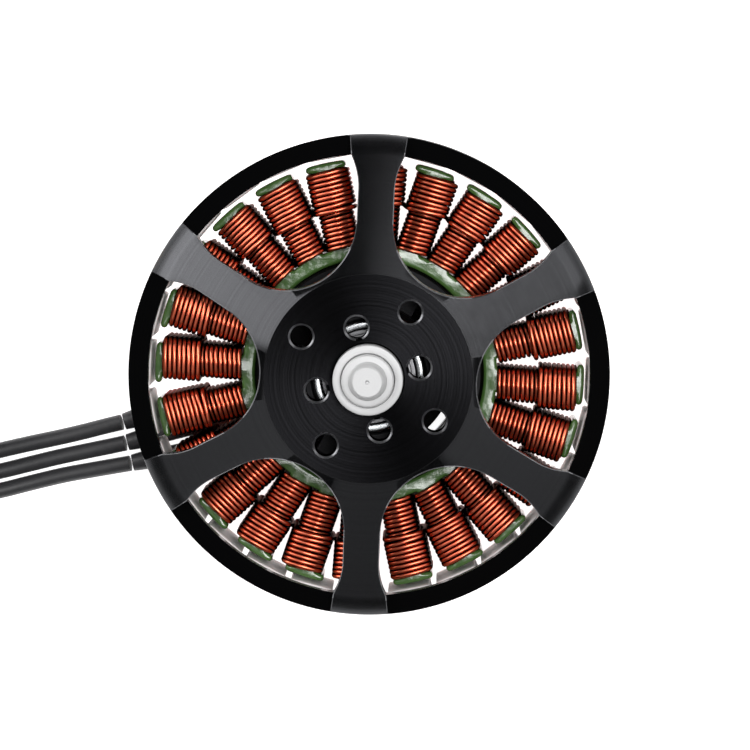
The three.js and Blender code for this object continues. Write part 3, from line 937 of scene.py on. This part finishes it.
def add_boss(finish):
    shape = lathe(ring(*extent("prop_boss"), 0.16, 4), 128)
    return dress("boss", shape, finish, "rotor", ["prop_boss"], 25)


def add_washers(finish):
    for name in ("upper_shim", "lower_shim"):
        shape = lathe(ring(*extent(name), 0.06), 96)
        dress(name + "_washer", shape, finish, "rotor", [name])


def add_clip(finish):
    """An open spring clip, wider opposite its mouth, with an eye at each end."""
    node = extent("retaining_clip")
    inside, mouth_reach, extra, eye_reach, eye_radius = 2.68, 3.75, 0.45, 3.45, 0.62
    half_mouth = math.radians(33)
    outer, inner = [], []
    for t in np.linspace(half_mouth, TURN - half_mouth, 60):
        wide = mouth_reach + extra * (0.5 - 0.5 * math.cos(t))
        outer.append(polar(wide, t + math.pi))
        inner.append(polar(inside, t + math.pi))
    made = solid("spring_clip", *raised(outer + inner[::-1], node.low, node.high))
    eyes = []
    for t in (math.pi + half_mouth, math.pi - half_mouth):
        eyes.append(raised(arc(polar(eye_reach, t), eye_radius, 0, 345, 24), node.low, node.high))
    combine(made, eyes, "UNION")
    made.data.transform(Matrix.Rotation(REST_TURN, 4, "Z"))
    return piece(made, finish, "rotor", ["retaining_clip"])


# ---- Bearings ---------------------------------------------------------------------------------

PITCH, BALL, BALL_COUNT = 4.75, 0.92, 8
INNER_FACE, OUTER_FACE = 3.95, 5.55


def race_profile(wall, face, low, high):
    """A bearing race with rounded edges and a round ball track."""
    centre, track, ease = (low + high) / 2, 1.0, 0.28
    outer_race = wall > face
    half = math.degrees(math.acos(abs(PITCH - face) / track))
    facing, way = (0, 1) if outer_race else (180, -1)
    groove = arc((PITCH, centre), track, facing - way * half, facing + way * half, 11)
    inward = -1 if outer_race else 1
    rounding = ((high - ease, 90), (low + ease, facing))
    top_edge, bottom_edge = (
        arc((wall + inward * ease, z), ease, start, start - 90 * way, 5) for z, start in rounding
    )
    lip = 0.1
    upper = [(face, high - lip), (face - inward * lip * 0.3, high - lip * 0.3), (face - inward * lip, high)]
    lower = [(face - inward * lip, low), (face - inward * lip * 0.3, low + lip * 0.3), (face, low + lip)]
    return [*lower, *groove, *upper, *top_edge, *bottom_edge]


def add_bearing(place, steel, shield):
    """Two races, the balls in their cage, and a pressed shield on each side."""
    inner, outer = extent(place + "_inner_race"), extent(place + "_outer_race")
    for kind, wall, face, node, body in (
        ("inner", inner.inner, INNER_FACE, inner, "rotor"),
        ("outer", outer.outer, OUTER_FACE, outer, "stator"),
    ):
        shape = lathe(race_profile(wall, face, node.low, node.high), 128)
        dress(f"{place}_{kind}_ring", shape, steel, body, [f"{place}_{kind}_race"])
    add_balls(place, (inner.low + inner.high) / 2, steel)
    for side in ("under", "over"):
        node_name = f"{place}_bearing_shield_{side}"
        shape = lathe(shield_profile(extent(node_name), side == "over"), 128)
        dress(f"{place}_shield_{side}", shape, shield, "stator", [node_name], 25)


def add_balls(place, centre, steel):
    """The cage as a plain ring, joined with the balls that it carries."""
    half_width, half_height = 0.22, 0.75
    cage = ring(PITCH - half_width, PITCH + half_width, centre - half_height, centre + half_height, 0.08)
    made = solid(place + "_balls", *lathe(cage, 96))
    profile = [(0, -BALL), *arc((0, 0), BALL, -80, 80, 17), (0, BALL)]
    vertices, faces = lathe(profile, 28, closed=False)
    spots = [polar(PITCH, k * TURN / BALL_COUNT) for k in range(BALL_COUNT)]
    combine(made, [(moved(vertices, *spot, centre), faces) for spot in spots], "UNION")
    piece(made, steel, place + "_cage", [place + "_ball_cage"])


def shield_profile(node, over):
    """A pressed shield: a dished disc whose outer edge is bent towards its outside."""
    up, step, disc_edge = 1 if over else -1, 0.1, 5.0
    face, back = (node.high, node.low) if over else (node.low, node.high)
    return [
        (node.inner, face - 0.02 * up), (disc_edge - 0.1, face - 0.02 * up), (disc_edge, face - step * up),
        (node.outer - 0.12, face - step * up), (node.outer, face), (node.outer, back),
        (disc_edge - 0.05, back), (node.inner, back + 0.08 * up),
    ]


# ---- Stator -----------------------------------------------------------------------------------

NECK_HALF = 1.0
TOOTH_COUNT = 24


def core_outline():
    """One tooth of the coated core between two slot middles, counter-clockwise, in mm."""
    yoke, tip = 14.85, extent("stator_core").outer
    shoe_centre, shoe = (tip - 0.50, 1.97), 0.38
    half_slot = math.pi / TOOTH_COUNT
    root = [polar(yoke, t) for t in np.linspace(half_slot, 0.095, 5)]
    side = root + arc((yoke + 0.75, NECK_HALF + 0.4), 0.4, 215, 270, 4)
    side += [(x, NECK_HALF) for x in np.linspace(16.5, 23.2, 8)]
    side += [(23.8, NECK_HALF + 0.06), (23.98, NECK_HALF + 0.25)]
    side += arc(shoe_centre, shoe, 180, 10, 12)
    tip_face = [polar(tip, t) for t in np.linspace(1.9 / tip, -1.9 / tip, 9)]
    whole = side + tip_face + [(x, -y) for x, y in reversed(side)]
    return whole[::-1]


def add_core(finish):
    node = extent("stator_core")
    tooth = core_outline()
    outline = []
    first = math.atan2(middle("coil_01").y, middle("coil_01").x)
    for k in range(TOOTH_COUNT):
        outline += turned_by(tooth[:-1], first + k * TURN / TOOTH_COUNT)
    count, bore_count = len(outline), 240
    coat, steps = 0.4, 5
    levels = []
    for k in range(steps + 1):
        turn = math.radians(90 * k / steps)
        levels.append((coat * (1 - math.cos(turn)), coat * (1 - math.sin(turn))))
    rows = [(inset, node.low + drop) for inset, drop in reversed(levels)]
    rows += [(inset, node.high - drop) for inset, drop in levels]
    vertices, faces = [], []
    for inset, z in rows:
        vertices += [(x, y, z) for x, y in grown(outline, -inset)]
    bore_start = len(vertices)
    for inset, z in rows:
        turns = np.linspace(0, TURN, bore_count, endpoint=False)
        vertices += [(*polar(node.inner + inset, t), z) for t in turns]
    for start, size in ((0, count), (bore_start, bore_count)):
        for k in range(len(rows) - 1):
            faces += band(start + k * size, start + (k + 1) * size, size)
    for k in (0, len(rows) - 1):
        outer_ids = list(range(k * count, (k + 1) * count))
        bore_ids = list(range(bore_start + k * bore_count, bore_start + (k + 1) * bore_count))
        loops = [[Vector(vertices[i]) for i in ids] for ids in (outer_ids, bore_ids)]
        ids = outer_ids + bore_ids
        faces += [tuple(ids[i] for i in triangle) for triangle in tessellate_polygon(loops)]
    return dress("coated_core", (vertices, faces), finish, "stator", ["stator_core"], 60)


WIRE = 0.53
COIL_START, COIL_END, COIL_STEP, COIL_CORNER = 15.12, 23.85, 19.6, 1.15


def turn_loop(half_width, half_height, corner, loop_out):
    """One turn round the tooth, seen along it, from the middle of its lower end: (y, z) points."""
    dome = 0.42
    flat = half_width - corner
    points = [(0.0, -half_height), (flat * 0.6, -half_height)]
    points += arc((flat, corner - half_height), corner, -90, 0, 6)
    for share, height in ((1.0, 0.15), (0.6, 0.45)):
        points.append((half_width + share * loop_out, height * half_height))
    upper = arc((flat, half_height - corner - dome), corner, 0, 78, 7, corner + dome * 0.6)
    upper += [(flat * 0.5, half_height - 0.05), (0.0, half_height)]
    points += upper + [(-y, z) for y, z in reversed(upper[:-1])]
    points += [(-half_width, 0.0), *arc((-flat, corner - half_height), corner, 180, 270, 6)]
    return [*points, (-flat * 0.6, -half_height)]


def winding_path(rng):
    """The coil's outer wire on the X axis: a full layer outwards, then a part layer back on top of it."""
    core = extent("stator_core")
    centre_z, half_z = (core.low + core.high) / 2, (core.high - core.low) / 2
    side_clear, end_clear, layer_lift = 0.78, 0.62, 0.5
    rise_share = 0.3
    count = 17
    pitch = (COIL_END - COIL_START) / (count - 1)
    over_count = rng.choice((8, 8, 9))
    turns = [(COIL_START + k * pitch, 0) for k in range(count)]
    turns += [(COIL_END - 0.12 - k * pitch, 1) for k in range(over_count)]
    path = []
    start = COIL_START
    for index, (x, layer) in enumerate(turns):
        lift = layer_lift * layer
        half_width = NECK_HALF + side_clear + lift
        last = index == len(turns) - 1
        step = pitch if layer == 0 else -pitch
        slant = 0.25 + rng.uniform(-0.05, 0.05) + (rng.uniform(-0.25, 0.35) if index > len(turns) - 3 else 0)
        x += rng.uniform(-0.02, 0.02)
        loop_out = rng.uniform(0.15, 0.6) if last else rng.uniform(0.0, 0.05)
        loop = turn_loop(half_width, half_z + end_clear + lift, COIL_CORNER, loop_out)
        for k, (y, z) in enumerate(loop):
            share = k / (len(loop) - 1)
            across = (half_width - y) / (2 * half_width)
            if share < rise_share:
                along = start + (x - slant / 2 - start) * share / rise_share
            elif share < 1 - rise_share:
                along = x - slant / 2 + slant * across
            else:
                along = x + slant / 2 + (step - slant) / 2 * (share - (1 - rise_share)) / rise_share
            path.append((along, y, z + centre_z))
        start = path[-1][0]
    return path


def inner_layers():
    """The layers under the visible wire, as one block with the tooth through it."""
    core = extent("stator_core")
    centre_z, half_z = (core.low + core.high) / 2, (core.high - core.low) / 2
    stations = (
        (COIL_START - 0.1, 0.0), (COIL_START, 0.15), (COIL_STEP, 0.2),
        (COIL_STEP + 0.3, 0.6), (COIL_END, 0.6), (COIL_END + 0.1, 0.4),
    )
    loops = []
    for x, grow in stations:
        half = (NECK_HALF + 0.45 + grow, half_z + 0.2 + grow)
        section = rounded_box((0, 0), half, COIL_CORNER, steps=5)
        loops.append([(x, y, z + centre_z) for y, z in section])
    return loft(loops)


def add_coils(finish):
    """A winding on each tooth, from six drawn variants taken in turn."""
    rng = random.Random(24)
    variants = [joined([tube(winding_path(rng), WIRE / 2, 9), inner_layers()]) for _ in range(6)]
    for k in range(TOOTH_COUNT):
        node = f"coil_{k + 1:02d}"
        vertices, faces = variants[(5 * k) % len(variants)]
        shape = (turned_by(vertices, math.atan2(middle(node).y, middle(node).x)), faces)
        dress(f"winding_{k + 1:02d}", shape, finish, "stator", [node], 60)


def add_phase_wires(finish):
    """Bundles of winding wire that run from the coils' undersides into the three sleeves."""
    for name, route in LEAD_ROUTES.items():
        mouth = Vector(route["sleeve"][0]) / MM
        parts, spread, strands = [], 0.42, 3
        for k in range(strands):
            turn = k * TURN / strands
            points = [
                mouth + Vector((-1.6, -0.4 + spread * math.cos(turn), spread * math.sin(turn) * 0.6)),
                mouth + Vector((0.0, spread * math.cos(turn + 0.6), spread * math.sin(turn + 0.6))),
                mouth + Vector((1.0, 0.4 + 0.5 * math.cos(turn + 1.6), 1.3 + 0.3 * k)),
                mouth + Vector((0.2, 0.8 + 1.3 * math.cos(turn + 1.9), 3.4)),
                mouth + Vector((-1.4, 0.6 + 2.0 * math.cos(turn + 2.2), 4.9)),
            ]
            parts.append(tube(smooth_path(points, 0.3), WIRE / 2, 9))
        dress(name + "_phase_wires", joined(parts), finish, "stator", sharp=60)


# ---- Mounting base ------------------------------------------------------------------------------

def add_base(finish):
    """The part that carries the core: a flange, a seat, a ribbed wall and the bearings' tube."""
    node = extent("mount_base")
    bore, race_stop, stop_low, stop_high = 6.5, 5.6, 7.05, 16.45
    tube_wall, tube_chamfer = 8.2, (0.9, 0.7)
    wall_inner, wall_outer, wall_top = 11.0, 13.15, 16.4
    flange, seat, seat_top = 3.0, 14.4, 7.85
    ease, foot_ease = 0.25, 0.4
    profile = [
        (bore, node.low + ease), (bore + ease, node.low), (node.outer - foot_ease, node.low),
        (node.outer, node.low + foot_ease), (node.outer, flange - ease), (node.outer - ease, flange),
        (seat, flange), (seat, seat_top - ease), (seat - ease, seat_top), (wall_outer, seat_top),
        (wall_outer, wall_top - ease), (wall_outer - ease, wall_top), (wall_inner + ease, wall_top),
        (wall_inner, wall_top - ease), (wall_inner, flange), (tube_wall, flange),
        (tube_wall, node.high - tube_chamfer[1]), (tube_wall - tube_chamfer[0], node.high),
        (bore + ease, node.high), (bore, node.high - ease),
        (bore, stop_high), (race_stop, stop_high), (race_stop, stop_low), (bore, stop_low),
    ]
    made = solid("base", *lathe(profile, 144))
    rib_start, rib_end, rib_half = 7.7, 11.6, 0.9
    rib = [(rib_start, -rib_half), (rib_end, -rib_half), (rib_end, rib_half), (rib_start, rib_half)]
    combine(made, repeated(raised(rib, flange - 0.5, wall_top - 0.6), ARM_COUNT), "UNION")
    slot_inner, slot_outer, slot_from, slot_to = 9.95, 10.9, 7, 29
    slot = arc((0, 0), slot_inner, slot_to, slot_from, 13)
    slot += arc((0, 0), slot_outer, slot_from, slot_to, 13)
    combine(made, repeated(raised(slot, -1, flange + 0.7), ARM_COUNT))
    mount_circle = 12.5
    screws = []
    for k in range(4):
        vertices, faces = screw_cutter(mount_circle, math.radians(45 + 90 * k), 0)
        screws.append(([(x, y, -z) for x, y, z in vertices], faces))
    combine(made, screws)
    return piece(made, finish, "stator", ["mount_base"])


# ---- Build --------------------------------------------------------------------------------------

add_camera()
add_studio()
add_floor()

copper = copper_finish()
shrink = sleeve_finish()
satin = satin_finish()
ground = steel_finish("bearing_steel", (0.42, 0.43, 0.44), (0.28, 0.29, 0.30), 0.24)
pressed = steel_finish("shield_steel", (0.13, 0.13, 0.135), (0.07, 0.07, 0.073), 0.30)

add_leads(silicone_finish(), shrink, gold_finish(), strap_finish())
add_phase_wires(copper)
add_bell(bell_finish(), hub_painted_shade_finish(), rim_finish(), painted_edge_highlight_finish())
add_flux_ring(ring_finish())
add_magnets(magnet_finish())
add_shaft(satin)
add_boss(satin)
add_washers(pressed)
add_clip(pressed)
for place in ("upper", "lower"):
    add_bearing(place, ground, pressed)
add_core(epoxy_finish())
add_coils(copper)
add_base(base_finish())
